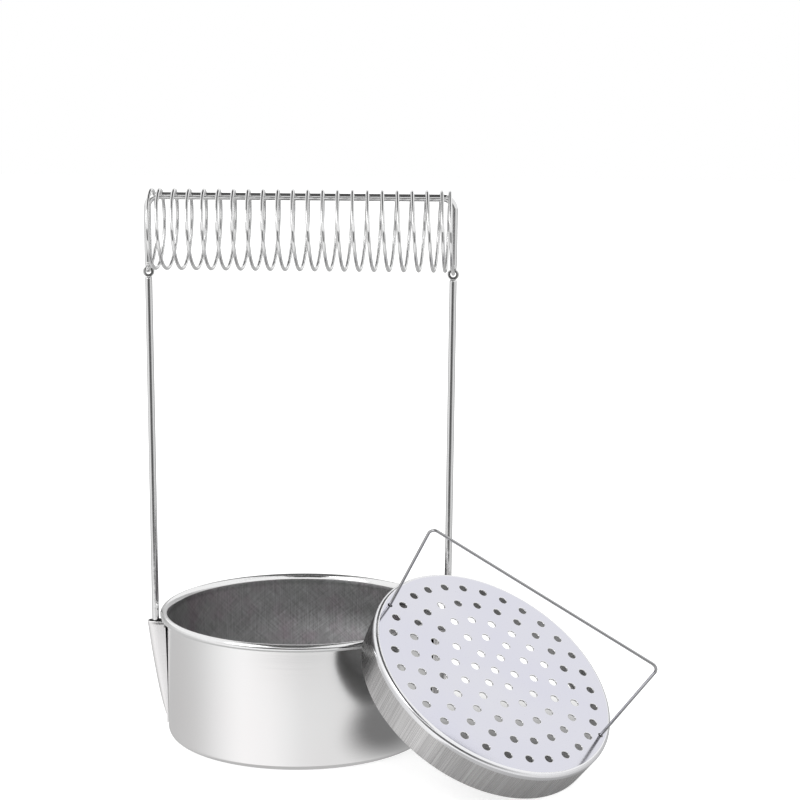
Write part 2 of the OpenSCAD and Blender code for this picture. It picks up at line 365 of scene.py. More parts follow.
def frames_along(path):
    """Tangent and two normals at each point of a path, carried along without twist."""
    tangents = [tangent(path, i) for i in range(len(path))]
    side = tangents[0].orthogonal().normalized()
    frames = []
    for i, t in enumerate(tangents):
        if i:
            side = tangents[i - 1].rotation_difference(t) @ side
            side = (side - side.dot(t) * t).normalized()
        frames.append((t, side, t.cross(side)))
    return frames


def sweep_wire(bm, path, radius, sides):
    """Round wire along a path, with ends rounded over."""
    frames = frames_along(path)
    runs = [0.0]
    for a, b in zip(path, path[1:]):
        runs.append(runs[-1] + (b - a).length)

    def end_ring(i, outwards, k):
        """One of three smaller rings just past an end of the path."""
        turn = k * WIRE_END_TURN
        bulge = frames[i][0] * outwards * radius * WIRE_END_BULGE * math.sin(turn)
        return path[i] + bulge, frames[i], radius * math.cos(turn), runs[i]

    spots = [end_ring(0, -1, k) for k in (3, 2, 1)]
    spots += [(p, frame_at, radius, run) for p, frame_at, run in zip(path, frames, runs)]
    spots += [end_ring(-1, 1, k) for k in (1, 2, 3)]
    rings = []
    for p, (_, side, up), r, run in spots:
        ring = [bm.verts.new(p + r * (math.cos(t) * side + math.sin(t) * up)) for t in circle(sides)]
        if rings:
            bridge(bm, rings[-1][0], ring,
                   uv=(2 * math.pi * radius * MM / sides, rings[-1][1] * MM, run * MM))
        rings.append((ring, run))
    for ring in (rings[0][0], rings[-1][0]):
        bm.faces.new(ring)


def bend_points(before, corner, after, radius, steps):
    """Rounds a corner of a path: points of the arc that replaces it."""
    a, b = (before - corner).normalized(), (after - corner).normalized()
    half = a.angle(b) / 2
    reach = radius / math.tan(half)
    start, end = corner + a * reach, corner + b * reach
    centre = corner + (a + b).normalized() * (radius / math.sin(half))
    u, v = start - centre, end - centre
    whole = u.angle(v)
    axis = u.cross(v).normalized()
    return [centre + Matrix.Rotation(whole * i / steps, 3, axis) @ u for i in range(steps + 1)]


def straight(a, b, steps):
    """Points from one end of a line to the other, both included."""
    return [a.lerp(b, i / steps) for i in range(steps + 1)]


def spline(points, steps):
    """Smooth curve through all points."""
    out = []
    for i in range(len(points) - 1):
        p0, p1 = points[max(i - 1, 0)], points[i]
        p2, p3 = points[i + 1], points[min(i + 2, len(points) - 1)]
        for k in range(steps):
            t = k / steps
            out.append(0.5 * (2 * p1 + (p2 - p0) * t + (2 * p0 - 5 * p1 + 4 * p2 - p3) * t * t
                              + (3 * p1 - p0 - 3 * p2 + p3) * t ** 3))
    out.append(points[-1])
    return out


def without_repeats(points):
    """Drops each point that repeats the one before."""
    kept = [points[0]]
    for p in points[1:]:
        if (p - kept[-1]).length > SAME_POINT:
            kept.append(p)
    return kept


# Node tools

def grey(level):
    return (level, level, level, 1)


class Nodes:
    """The node tree of a material or a world, and a short way to add to it."""

    def __init__(self, owner):
        owner.use_nodes = True
        self.tree = owner.node_tree

    def node(self, kind, **settings):
        """A new node; the settings are its own properties."""
        made = self.tree.nodes.new("ShaderNode" + kind)
        for key, value in settings.items():
            setattr(made, key, value)
        return made

    def join(self, out, into):
        self.tree.links.new(out, into)

    def feed(self, sockets, values):
        """Gives each socket a value, which is another node's output or a constant."""
        for socket, value in zip(sockets, values):
            if isinstance(value, bpy.types.NodeSocket):
                self.join(value, socket)
            else:
                socket.default_value = value

    def coords(self, source="Object"):
        return self.node("TexCoord").outputs[source]

    def split(self):
        """The object's own coordinates, as a node with the outputs X, Y and Z."""
        made = self.node("SeparateXYZ")
        self.join(self.coords(), made.inputs[0])
        return made

    def maths(self, kind, *values):
        made = self.node("Math", operation=kind)
        self.feed(made.inputs, values)
        return made.outputs[0]

    def vector(self, kind, *values):
        made = self.node("VectorMath", operation=kind)
        self.feed(made.inputs, values)
        return made.outputs["Value" if kind == "LENGTH" else "Vector"]

    def run(self, value, low, high, start=0, end=1, **settings):
        """Runs from start to end while a value goes from low to high."""
        made = self.node("MapRange", **settings)
        self.feed(made.inputs, (value, low, high, start, end))
        return made.outputs["Result"]

    def along(self, axis, low, high, **settings):
        """Runs from 0 to 1 between two places on one of the object's axes, in metres."""
        return self.run(self.split().outputs[axis], low, high, **settings)

    def ramp(self, fac, stops):
        """Colour ramp; each stop is (place, colour or grey)."""
        made = self.node("ValToRGB")
        elements = made.color_ramp.elements
        while len(elements) < len(stops):
            elements.new(0.5)
        for element, (place, value) in zip(elements, stops):
            element.position = place
            element.color = (*value, 1) if isinstance(value, tuple) else grey(value)
        self.join(fac, made.inputs[0])
        return made.outputs[0]

    def blend(self, fac, a, b, kind="MIX"):
        """Mixes two colours."""
        made = self.node("Mix", data_type="RGBA", blend_type=kind)
        self.feed((made.inputs[0], made.inputs[6], made.inputs[7]), (fac, a, b))
        return made.outputs[2]

    def multiply(self, a, b):
        """Product of two colours."""
        return self.blend(1, a, b, kind="MULTIPLY")

    def weighted(self, a, share_a, b, share_b):
        """Sum of two values, each times its share."""
        return self.maths("ADD", self.maths("MULTIPLY", a, share_a), self.maths("MULTIPLY", b, share_b))


class Shader(Nodes):
    """A Principled material."""

    def __init__(self, name, colour, rough, metallic=1.0):
        self.mat = bpy.data.materials.new(name)
        super().__init__(self.mat)
        self.bsdf = self.tree.nodes["Principled BSDF"]
        self.bsdf.inputs["Base Color"].default_value = (*colour, 1)
        self.bsdf.inputs["Roughness"].default_value = rough
        self.bsdf.inputs["Metallic"].default_value = metallic
        self.relief = None

    def stretched(self, source, scale, turn=0.0):
        """Coordinates turned about Z, then stretched so that noise on them runs in streaks."""
        turned = self.node("Mapping")
        turned.inputs["Rotation"].default_value = (0, 0, turn)
        self.join(self.coords(source), turned.inputs["Vector"])
        return self.vector("MULTIPLY", turned.outputs[0], scale)

    def radial(self, scale):
        """Coordinates that change only with the distance from the object's Z axis."""
        spread = self.node("CombineXYZ")
        flat = self.vector("MULTIPLY", self.coords(), (1, 1, 0))
        self.join(self.vector("LENGTH", flat), spread.inputs[0])
        return self.vector("MULTIPLY", spread.outputs[0], (scale, scale, scale))

    def around(self, turn, rise):
        """Coordinates that run with the direction from the object's Z axis, and slowly along it."""
        unit = self.vector("NORMALIZE", self.vector("MULTIPLY", self.coords(), (1, 1, 0)))
        spread = self.vector("MULTIPLY", unit, (turn, turn, turn))
        return self.vector("ADD", spread, self.vector("MULTIPLY", self.coords(), (0, 0, rise)))

    def noise(self, vector, detail, rough=0.5):
        made = self.node("TexNoise")
        made.inputs["Scale"].default_value = 1
        made.inputs["Detail"].default_value = detail
        made.inputs["Roughness"].default_value = rough
        self.join(vector, made.inputs["Vector"])
        return made.outputs["Fac"]

    def colour(self, out):
        self.join(out, self.bsdf.inputs["Base Color"])

    def roughness(self, out):
        self.join(out, self.bsdf.inputs["Roughness"])

    def bump(self, height, strength, distance):
        """Adds a layer of relief; distance is in metres."""
        made = self.node("Bump")
        made.inputs["Strength"].default_value = strength
        made.inputs["Distance"].default_value = distance
        self.join(height, made.inputs["Height"])
        if self.relief:
            self.join(self.relief, made.inputs["Normal"])
        self.relief = made.outputs[0]
        self.join(self.relief, self.bsdf.inputs["Normal"])


class Glow(Nodes):
    """A material that shows only light of its own, or nothing."""

    def __init__(self, name):
        self.mat = bpy.data.materials.new(name)
        super().__init__(self.mat)
        self.tree.nodes.clear()
        self.surface = self.node("OutputMaterial").inputs["Surface"]

    def light(self, colour):
        made = self.node("Emission")
        self.feed(made.inputs, (colour,))
        return made.outputs[0]


# Materials

def satin_wall():
    """Outside of the tank: drawn sheet, finely brushed round the wall."""
    s = Shader("tank_satin", (0.86, 0.86, 0.86), 0.17)
    rings = s.noise(s.stretched("Object", (22, 22, 2600)), detail=3, rough=0.6)
    cloud = s.noise(s.stretched("Object", (26, 26, 14)), detail=2)
    tint = s.ramp(cloud, [(0.3, (0.88, 0.865, 0.865)), (0.7, (0.89, 0.89, 0.89))])
    s.colour(s.multiply(tint, s.ramp(rings, [(0.25, 0.985), (0.75, 1.0)])))
    s.roughness(s.ramp(rings, [(0.3, 0.15), (0.7, 0.2)]))
    s.bump(rings, 0.01, 0.00002)
    s.bsdf.inputs["Anisotropic"].default_value = 0.5
    return s.mat


# Places on the tank's inside, in metres: a band of painted sheen that grows to the right, and parts with
# painted shade
PAINTED_SHEEN_Z = (0.016, 0.046)
PAINTED_SHEEN_X = (-0.045, 0.015)
PAINTED_SHADE_LEFT_X = (-0.06, -0.015)
PAINTED_SHADE_TOP_Z = (0.051, 0.0548)


def brushed_inside():
    """Inside of the tank: grey, scoured by crossing scratches, with painted shade to the left and under the
    rim and a rougher band of painted sheen low on the wall.
    """
    s = Shader("tank_inside", (0.5, 0.49, 0.49), 0.4)
    upright = s.noise(s.stretched("UV", (1500, 60, 1)), detail=4, rough=0.65)
    slanted, crossed = (s.noise(s.stretched("UV", (1300, 70, 1), math.radians(turn)), detail=4, rough=0.7)
                        for turn in (52, -47))
    cloud = s.noise(s.stretched("UV", (60, 50, 1)), detail=3, rough=0.6)
    weave = s.weighted(s.maths("ADD", slanted, crossed), 0.33, upright, 0.34)
    tint = s.ramp(cloud, [(0.32, (0.93, 0.85, 0.9)), (0.5, (0.96, 0.96, 0.965)), (0.7, (0.93, 0.95, 0.94))])
    # Painted sheen: lighter low on the wall, more so to the right; the same band also makes it rougher
    sheen_band = s.ramp(s.along("Z", *PAINTED_SHEEN_Z), [(0.0, 0.4), (0.25, 0.75), (0.45, 1.0), (0.8, 0.0)])
    painted_sheen = s.maths("MULTIPLY", sheen_band, s.along("X", *PAINTED_SHEEN_X))
    # Painted shade: darker to the left and just under the rim
    painted_shade = s.multiply(s.ramp(s.along("X", *PAINTED_SHADE_LEFT_X), [(0.0, 0.66), (1.0, 1.0)]),
                       s.ramp(s.along("Z", *PAINTED_SHADE_TOP_Z), [(0.0, 1.0), (1.0, 0.4)]))
    sheen_and_shade = s.multiply(s.ramp(painted_sheen, [(0.0, 0.72), (1.0, 1.0)]), painted_shade)
    s.colour(s.multiply(sheen_and_shade, s.multiply(tint, s.ramp(weave, [(0.4, 0.6), (0.6, 1.0)]))))
    s.roughness(s.weighted(s.ramp(weave, [(0.35, 0.34), (0.65, 0.5)]), 1.0, painted_sheen, 0.3))
    s.bump(weave, 0.5, 0.0003)
    return s.mat


def polished(name, colour, rough, wave=0.15):
    """Bright rolled or bent metal, with soft waviness and faint die lines."""
    s = Shader(name, colour, rough)
    lines = s.noise(s.stretched("UV", (9000, 40, 1)), detail=2)
    lumps = s.noise(s.stretched("Object", (240, 240, 240)), detail=2)
    smear = s.noise(s.stretched("Object", (60, 60, 60)), detail=3)
    dark = tuple(c * 0.93 for c in colour)
    s.colour(s.ramp(lines, [(0.3, dark), (0.6, colour)]))
    s.roughness(s.ramp(smear, [(0.35, rough * 0.8), (0.7, rough * 1.35)]))
    s.bump(lumps, wave, 0.0004)
    s.bump(lines, 0.05, 0.00005)
    return s.mat


def mirror_plate():
    """Face of the strainer: near mirror, with faint rings left by polishing."""
    s = Shader("strainer_plate", (0.715, 0.715, 0.8), 0.1)
    rings = s.noise(s.radial(1500), detail=3, rough=0.6)
    cloud = s.noise(s.stretched("Object", (24, 24, 24)), detail=3)
    tint = s.ramp(cloud, [(0.3, (0.71, 0.71, 0.8)), (0.7, (0.74, 0.74, 0.8))])
    s.colour(s.multiply(tint, s.ramp(rings, [(0.3, 0.975), (0.7, 1.0)])))
    s.roughness(s.ramp(cloud, [(0.3, 0.07), (0.7, 0.13)]))
    s.bump(rings, 0.04, 0.00005)
    return s.mat


# Place on the strainer, in metres, where its skirt has painted shade: the side that leans on the rim
PAINTED_SHADE_SKIRT_X = (-0.0545, -0.015)


def brushed_skirt(name, light, dark, rough):
    """Skirt of the strainer: brushed along its axis, with painted shade on the side that leans on the rim.
    """
    s = Shader(name, light, rough)
    # Painted shade: the skirt darkens towards the side that leans on the rim
    painted_shade = s.ramp(s.along("X", *PAINTED_SHADE_SKIRT_X),
                   [(0.0, 0.1), (0.1, 0.35), (0.28, 0.62), (0.5, 0.87), (1.0, 0.92)])
    streak = s.noise(s.around(105, 14), detail=3, rough=0.6)
    grain = s.weighted(streak, 0.85, s.noise(s.around(26, 4), detail=2), 0.15)
    s.colour(s.multiply(s.ramp(grain, [(0.38, dark), (0.62, light)]), painted_shade))
    s.roughness(s.ramp(grain, [(0.35, rough * 0.85), (0.65, rough * 1.25)]))
    s.bump(streak, 0.08, 0.00008)
    return s.mat


def pressed_sheet(name, light, dark, rough):
    """Sockets: satin sheet with soft lumps from the press."""
    s = Shader(name, light, rough)
    grain = s.noise(s.stretched("Object", (500, 500, 60)), detail=3, rough=0.6)
    lumps = s.noise(s.stretched("Object", (90, 90, 60)), detail=1)
    s.colour(s.ramp(grain, [(0.3, dark), (0.65, light)]))
    s.roughness(s.ramp(grain, [(0.3, rough * 0.85), (0.7, rough * 1.2)]))
    s.bump(lumps, 0.2, 0.0005)
    s.bump(grain, 0.08, 0.0001)
    return s.mat


SATIN = satin_wall()
INSIDE = brushed_inside()
RIM = polished("tank_rim", (0.88, 0.88, 0.88), 0.12, wave=0.12)
ROD = polished("rack_rod", (0.8, 0.8, 0.8), 0.13)
COIL = polished("coil_bright", (0.82, 0.82, 0.82), 0.12)
BAIL = polished("bail_bright", (0.44, 0.44, 0.45), 0.12)
PLATE = mirror_plate()
SKIRT = brushed_skirt("strainer_skirt", (0.82, 0.81, 0.81), (0.58, 0.57, 0.57), 0.26)
# Painted shade: the strainer's underside, inside the skirt, is darker than its outside
UNDERSIDE_PAINTED_SHADE = brushed_skirt("strainer_underside_painted_shade", (0.5, 0.5, 0.5), (0.36, 0.36, 0.36), 0.4)
SHOULDER = polished("strainer_shoulder", (0.9, 0.9, 0.92), 0.14, wave=0.1)
SOCKET = pressed_sheet("socket_sheet", (0.88, 0.87, 0.87), (0.84, 0.825, 0.83), 0.26)
# Painted shade: the socket's inner face is near black
SOCKET_PAINTED_SHADE = pressed_sheet("socket_inside_painted_shade", (0.16, 0.16, 0.16), (0.1, 0.1, 0.1), 0.4)


# Tank, with the places of its materials
OUTER, ROLLED, INNER = range(3)


def outside_of_flare(flare):
    """The flare's line moved by the sheet's thickness, outwards and down."""
    moved = []
    for i, (r, z) in enumerate(flare):
        (r0, z0), (r1, z1) = neighbours(flare, i)
        size = math.dist((r0, z0), (r1, z1))
        moved.append((r + TANK_T * ((z1 - z0) / size), z - TANK_T * ((r1 - r0) / size)))
    return moved


def make_tank():
    """Drawn bowl: one sheet turned about Z, outside first, over the curled rim and down the inside."""
    flare = [(BEAD_X - (BEAD_X - WALL_IN_R) * math.cos(t), TANK_H - FLARE_H + FLARE_H * math.sin(t))
             for t in (math.pi / 2 * k / FLARE_STEPS for k in range(FLARE_STEPS))]
    closing = [point for point in outside_of_flare(flare) if point[1] < CLOSING_TOP_Z]
    corner = (TANK_R - BASE_CORNER_R, BASE_CORNER_R)
    profile, zones = zoned([
        (OUTER, [(r, 0) for r in FLOOR_RINGS]),
        (OUTER, arc(*corner, BASE_CORNER_R, -90, 0, steps=14)),
        (OUTER, [(TANK_R, z) for z in WALL_RINGS + (WALL_TOP_Z,)]),
        (ROLLED, closing + [(BEAD_TUCK_X, BEAD_TUCK_Z)]),
        (ROLLED, arc(BEAD_X, BEAD_Z, BEAD_R, BEAD_CURL, 90, steps=44)),
        (ROLLED, [point for point in flare[::-1] if point[0] > BEAD_X - CREST_W]),
        (INNER, [point for point in flare[:0:-1] if point[0] <= BEAD_X - CREST_W]),
        (INNER, [(WALL_IN_R, z) for z in (TANK_H - FLARE_H,) + WALL_RINGS[::-1]]),
        (INNER, arc(*corner, BASE_CORNER_R - TANK_T, 0, -90, steps=12)),
        (INNER, [(r, TANK_T) for r in FLOOR_RINGS[::-1]])])
    bm = bmesh.new()
    revolve(bm, profile, zones, TANK_SIDES, start=-math.pi / 2)
    tank = finish_mesh("tank_body", bm, [SATIN, RIM, INSIDE], sharp=40)
    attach(tank, "tank")
    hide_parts("tank_bowl")


# Sockets

def channel_line(half, depth, lift, side):
    """Outline of the socket's sheet at one height: flange, channel, flange."""
    channel = []
    for i in range(SOCKET_STEPS + 1):
        t = math.pi * i / SOCKET_STEPS
        c, s = math.cos(t), math.sin(t)
        channel.append((-half * math.copysign(abs(c) ** CHANNEL_POWER, c),
                        depth * max(s, 0) ** CHANNEL_POWER + lift))
    flange = side - half
    first = [(-side + flange * k / FLANGE_STEPS, lift) for k in range(FLANGE_STEPS)]
    last = [(half + flange * k / FLANGE_STEPS, lift) for k in range(1, FLANGE_STEPS + 1)]
    return first + channel + last


def socket_ring(q, inset):
    """One closed ring of the sheet, thinned by inset on each face to round its edges."""
    z = SOCKET_TIP_Z + SOCKET_RISE * q
    depth = max(SOCKET_T + TIP_HOLLOW, SOCKET_REACH * q ** SOCKET_CURVE)
    half = SOCKET_W / 2
    side = half + FLANGE_W - inset
    outer = channel_line(half - inset, depth - SOCKET_T, SOCKET_T - inset, side)
    inner = channel_line(half - SOCKET_T + inset, depth - SOCKET_T, inset, side)
    ring = []
    for y, out in outer + inner[::-1]:
        base = math.sqrt((TANK_R + WELD_GAP) ** 2 - y * y)
        spring = FLANGE_SPRING * max(0, abs(y) - half) / FLANGE_W * q ** SPRING_POWER
        ring.append(Vector((base + out + spring, y, z)))
    return ring


def make_socket(name, node, sign):
    """Pressed channel with a flange on each side; its mouth has a rounded lip."""
    spots = [((i / SOCKET_STEPS) ** RING_POWER, 0.0) for i in range(SOCKET_STEPS)]
    spots += [(1 - LIP_H / SOCKET_RISE * share, inset) for share, inset in LIP_INSETS]
    bm = bmesh.new()
    rings = []
    for q, inset in spots:
        ring = [bm.verts.new((sign * p.x, p.y, p.z)) for p in socket_ring(q, inset)]
        if rings:
            made = bridge(bm, rings[-1], ring)
            # The second half of a ring is the sheet's inner face, which takes the socket's painted shade
            for face in made[len(made) // 2:-1]:
                face.material_index = 1
        rings.append(ring)
    # Closes the sheet's thickness at the tip and at the mouth
    half = len(rings[0]) // 2
    for ring in (rings[0], rings[-1]):
        for k in range(half - 1):
            bm.faces.new((ring[k], ring[k + 1], ring[-2 - k], ring[-1 - k]))
    socket = finish_mesh(name, bm, [SOCKET, SOCKET_PAINTED_SHADE], sharp=48)
    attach(socket, "tank")
    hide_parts(node)


# Rack

def smooth(x, low, high):
    """Runs softly from 0 to 1 while x goes from low to high."""
    t = min(1, max(0, (x - low) / (high - low)))
    return t * t * (3 - 2 * t)


def rod_section(dz):
    """Half width, half thickness and squareness of the rod at a height from the eye's centre."""
    if abs(dz) > EYE_ZONE:
        return ROD_R, ROD_R, 1.0
    flat = 1 - (smooth(-dz, *EYE_BELOW) if dz < 0 else smooth(dz, *EYE_ABOVE))
    round_part = math.sqrt(max(0, EYE_R ** 2 - dz * dz))
    width = max(round_part, ROD_R * (1 - flat) + EYE_NECK_R * flat)
    return width, ROD_R + (EYE_HALF_T - ROD_R) * flat, 1 - EYE_SQUARE * flat


def rod_path():
    """Points along the rack's rod, and the height of each from the nearest eye's centre."""
    lean = Vector((math.sin(LEG_LEAN), 0, math.cos(LEG_LEAN)))
    foot = Vector((LEG_X, 0, LEG_END_Z))
    corner = foot + lean * ((RACK_H - LEG_END_Z) / lean.z)
    bend = bend_points(foot, corner, Vector((0, 0, RACK_H)), RACK_BEND_R, steps=16)
    eye_run = (EYE_Z - LEG_END_Z) / lean.z
    bend_run = (bend[0] - foot).length
    runs = [run for run, _ in ROD_END] + list(LEG_RINGS)
    runs += [eye_run + k * EYE_STEP for k in range(-EYE_RINGS, EYE_RINGS + 1)]
    runs = sorted(run for run in runs if run < bend_run - BEND_GAP)
    half_path = [foot + lean * run for run in runs] + bend
    heights = [run - eye_run for run in runs] + [NO_EYE] * len(bend)
    inner = bend[-1].x
    path = [Vector((-p.x, p.y, p.z)) for p in half_path]
    path += [Vector((-inner + 2 * inner * k / BAR_STEPS, 0, RACK_H)) for k in range(1, BAR_STEPS)]
    path += half_path[::-1]
    return path, heights + [NO_EYE] * (BAR_STEPS - 1) + heights[::-1]


def drill_eyes(rack):
    """Cuts the round hole through each eye."""
    cutter = bmesh.new()
    for side in (-1, 1):
        rings = [[cutter.verts.new((side * EYE_X + EYE_HOLE_R * math.cos(t), y,
                                    EYE_Z + EYE_HOLE_R * math.sin(t))) for t in circle(DRILL_SIDES)]
                 for y in (-DRILL_REACH, DRILL_REACH)]
        bridge(cutter, *rings)
        for ring in rings:
            cutter.faces.new(ring)
    drill = finish_mesh("eye_drill", cutter, [])
    cut = rack.modifiers.new("eyes", "BOOLEAN")
    cut.operation = "DIFFERENCE"
    cut.solver = "EXACT"
    cut.object = drill
    bpy.context.view_layer.update()
    drilled = bpy.data.meshes.new_from_object(rack.evaluated_get(bpy.context.evaluated_depsgraph_get()))
    rack.modifiers.clear()
    rack.data = drilled
    rack.data.set_sharp_from_angle(angle=math.radians(EYE_SHARP))
    bpy.data.objects.remove(drill)


def make_rack():
    """One rod: left leg up, over the crossbar, right leg down, with a pressed eye on each leg."""
    path, heights = rod_path()
    forward = Vector((0, 1, 0))
    bm = bmesh.new()
    previous, run = None, 0.0
    for i, p in enumerate(path):
        across = forward.cross(tangent(path, i)).normalized()
        width, thick, power = rod_section(heights[i])
        nearest_end = min(i, len(path) - 1 - i)
        _, shrink = ROD_END[min(nearest_end, len(ROD_END) - 1)]
        ring = []
        for t in circle(ROD_SIDES):
            c, s = math.cos(t), math.sin(t)
            x = width * math.copysign(abs(c) ** power, c)
            y = thick * math.copysign(abs(s) ** power, s)
            ring.append(bm.verts.new(p + shrink * (x * across + y * forward)))
        step = (p - path[i - 1]).length if i else 0
        if previous:
            bridge(bm, previous, ring,
                   uv=(2 * math.pi * ROD_R * MM / ROD_SIDES, run * MM, (run + step) * MM))
        else:
            bm.faces.new(ring)
        run += step
        previous = ring
    bm.faces.new(previous)
    rack = finish_mesh("rack_wire", bm, [ROD])
    drill_eyes(rack)
    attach(rack, "rack")
    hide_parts("rack_frame")


# Coil

def coil_x(u):
    """Place along the crossbar after u turns, wound closer at both ends."""
    open_pitch = (2 * EYE_X - 2 * CLOSE_TURNS * CLOSE_PITCH) / (COIL_TURNS - 2 * CLOSE_TURNS)
    return (-EYE_X + CLOSE_PITCH * min(u, CLOSE_TURNS)
            + open_pitch * max(0, min(u, COIL_TURNS - CLOSE_TURNS) - CLOSE_TURNS)
            + CLOSE_PITCH * max(0, u - (COIL_TURNS - CLOSE_TURNS)))


def coil_point(u):
    """Centre of the wire after u turns of the helix."""
    t = 2 * math.pi * u
    return Vector((coil_x(u), COIL_R * math.sin(t), COIL_Z - COIL_R * math.cos(t)))


def coil_end(sign):
    """From the hooked tip, through the eye, to the start of the helix; sign is 1 on the left."""
    return [Vector((sign * (inwards - EYE_X), sign * through, COIL_END_Z + up))
            for inwards, through, up in COIL_END]


def make_coil():
    """Round wire wound in one helix, its ends led through the eyes and turned up past them."""
    steps = COIL_TURNS * COIL_STEPS
    wound = COIL_TURNS - 2 * COIL_LEAD
    body = [coil_point(COIL_LEAD + wound * i / steps) for i in range(steps + 1)]
    start = coil_end(1) + body[:3]
    finish = body[-3:] + coil_end(-1)[::-1]
    path = spline(start, CURVE_STEPS)[:-1] + body[2:-2] + spline(finish, CURVE_STEPS)[1:]
    bm = bmesh.new()
    sweep_wire(bm, without_repeats(path), COIL_WIRE_R, COIL_WIRE_SIDES)
    coil = finish_mesh("coil_wire", bm, [COIL])
    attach(coil, "rack")
    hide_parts("brush_coil")


# Strainer, with the places of its materials
FACE, ROUNDED, SIDE, UNDER = range(4)


def plate_holes():
    """Centre, radius and edge rounding of each hole through the strainer's plate."""
    holes = [(0.0, 0.0, DRAIN_R, PUNCH_R)]
    for ring in range(1, DRAIN_RINGS + 1):
        away = ring * DRAIN_STEP
        count = 6 * ring
        for i in range(count):
            t = 2 * math.pi * (i + (ring % 2) / 2) / count
            holes.append((away * math.cos(t), away * math.sin(t), DRAIN_R, PUNCH_R))
    for side in (-1, 1):
        holes.append((side * BAIL_X, 0.0, BAIL_HOLE_R, BAIL_PUNCH_R))
    return holes


def punch_hole(bm, x, y, r, punch):
    """Wall of one hole, with a rounded edge above and a smaller one below; its end rings."""
    under = punch * UNDER_SHARE
    section = [(r + punch - punch * math.sin(t), -punch + punch * math.cos(t))
               for t in (math.pi / 2 * k / PUNCH_STEPS for k in range(PUNCH_STEPS + 1))]
    section += [(r + under * out, -STRAINER_T + under * up)
                for out, up in ((0, 1), (UNDER_MIDDLE, UNDER_MIDDLE), (1, 0))]
    loops = [[bm.verts.new((x + rr * math.cos(t), y + rr * math.sin(t), z)) for t in circle(HOLE_SIDES)]
             for rr, z in section]
    for k, (a, b) in enumerate(zip(loops, loops[1:])):
        bridge(bm, a, b, index=ROUNDED if k < PUNCH_STEPS else UNDER)
    return loops[0], loops[-1]


def centre_and_size(ring):
    """Centre and radius of a round ring of vertices."""
    centre = sum((v.co for v in ring), Vector()) / len(ring)
    return centre, (ring[0].co - ring[len(ring) // 2].co).length / 2


# Settings of the fill: triangles inside the outline, the least distance between points, and the
# share of a hole's radius within which a triangle that touches only holes lies in the hole
FILL_OUTLINE = 1
FILL_MARGIN = 1e-7
HOLE_SHARE = 0.98


def flat_with_holes(bm, outer, rings, index):
    """Fills between an outer ring of vertices and rings of hole vertices, all at one height."""
    verts, edges = [], []
    for ring in [outer] + rings:
        base = len(verts)
        verts += ring
        edges += [(base + k, base + (k + 1) % len(ring)) for k in range(len(ring))]
    flat = [Vector((v.co.x, v.co.y)) for v in verts]
    made = delaunay_2d_cdt(flat, edges, [], FILL_OUTLINE, FILL_MARGIN)
    triangles, source = made[2], made[3]
    holes = [centre_and_size(ring) for ring in rings]
    for triangle in triangles:
        keys = [source[k][0] for k in triangle]
        middle = sum((verts[k].co for k in keys), Vector()) / 3
        on_holes = all(k >= len(outer) for k in keys)
        if not (on_holes and any((middle - centre).length < r * HOLE_SHARE for centre, r in holes)):
            face = bm.faces.new([verts[k] for k in keys])
            face.material_index = index


def cap_profile():
    """The strainer's sheet from the plate's edge over shoulder and skirt and back up inside."""
    outside = arc(FLAT_R, -SHOULDER_R, SHOULDER_R, 90, 0, steps=12)
    narrowing = [(PLATE_R + (STRAINER_R - PLATE_R) * q, -SHOULDER_R + (SHOULDER_R - STRAINER_H) * q)
                 for q in SKIRT_RINGS]
    lip_z = -STRAINER_H + SKIRT_LIP_R
    edge = arc(STRAINER_R - SKIRT_LIP_R, lip_z, SKIRT_LIP_R, 0, -90, steps=5)
    edge += arc(STRAINER_R - STRAINER_T + SKIRT_LIP_R, lip_z, SKIRT_LIP_R, -90, -180, steps=5)
    back = [(r - STRAINER_T, z) for r, z in narrowing[::-1]]
    inside = arc(FLAT_R, -SHOULDER_R, SHOULDER_R - STRAINER_T, 0, 90, steps=8)
    return zoned([(ROUNDED, outside), (SIDE, narrowing), (SIDE, edge), (UNDER, back), (UNDER, inside)])


def make_strainer():
    """Pressed cap: plate with punched holes, rounded shoulder and skirt, one closed sheet."""
    bm = bmesh.new()
    rings = revolve(bm, *cap_profile(), STRAINER_SIDES)
    tops, bottoms = [], []
    for hole in plate_holes():
        top, bottom = punch_hole(bm, *hole)
        tops.append(top)
        bottoms.append(bottom)
    flat_with_holes(bm, rings[0], tops, FACE)
    flat_with_holes(bm, rings[-1], bottoms, UNDER)
    for ring in [rings[0], rings[-1]] + tops + bottoms:
        for k in range(len(ring)):
            shared = bm.edges.get((ring[k], ring[(k + 1) % len(ring)]))
            if shared:
                shared.smooth = False
    strainer = finish_mesh("strainer_sheet", bm, [PLATE, SHOULDER, SKIRT, UNDERSIDE_PAINTED_SHADE], place=LEANING)
    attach(strainer, "strainer")
    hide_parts("strainer_cap")


# Bail

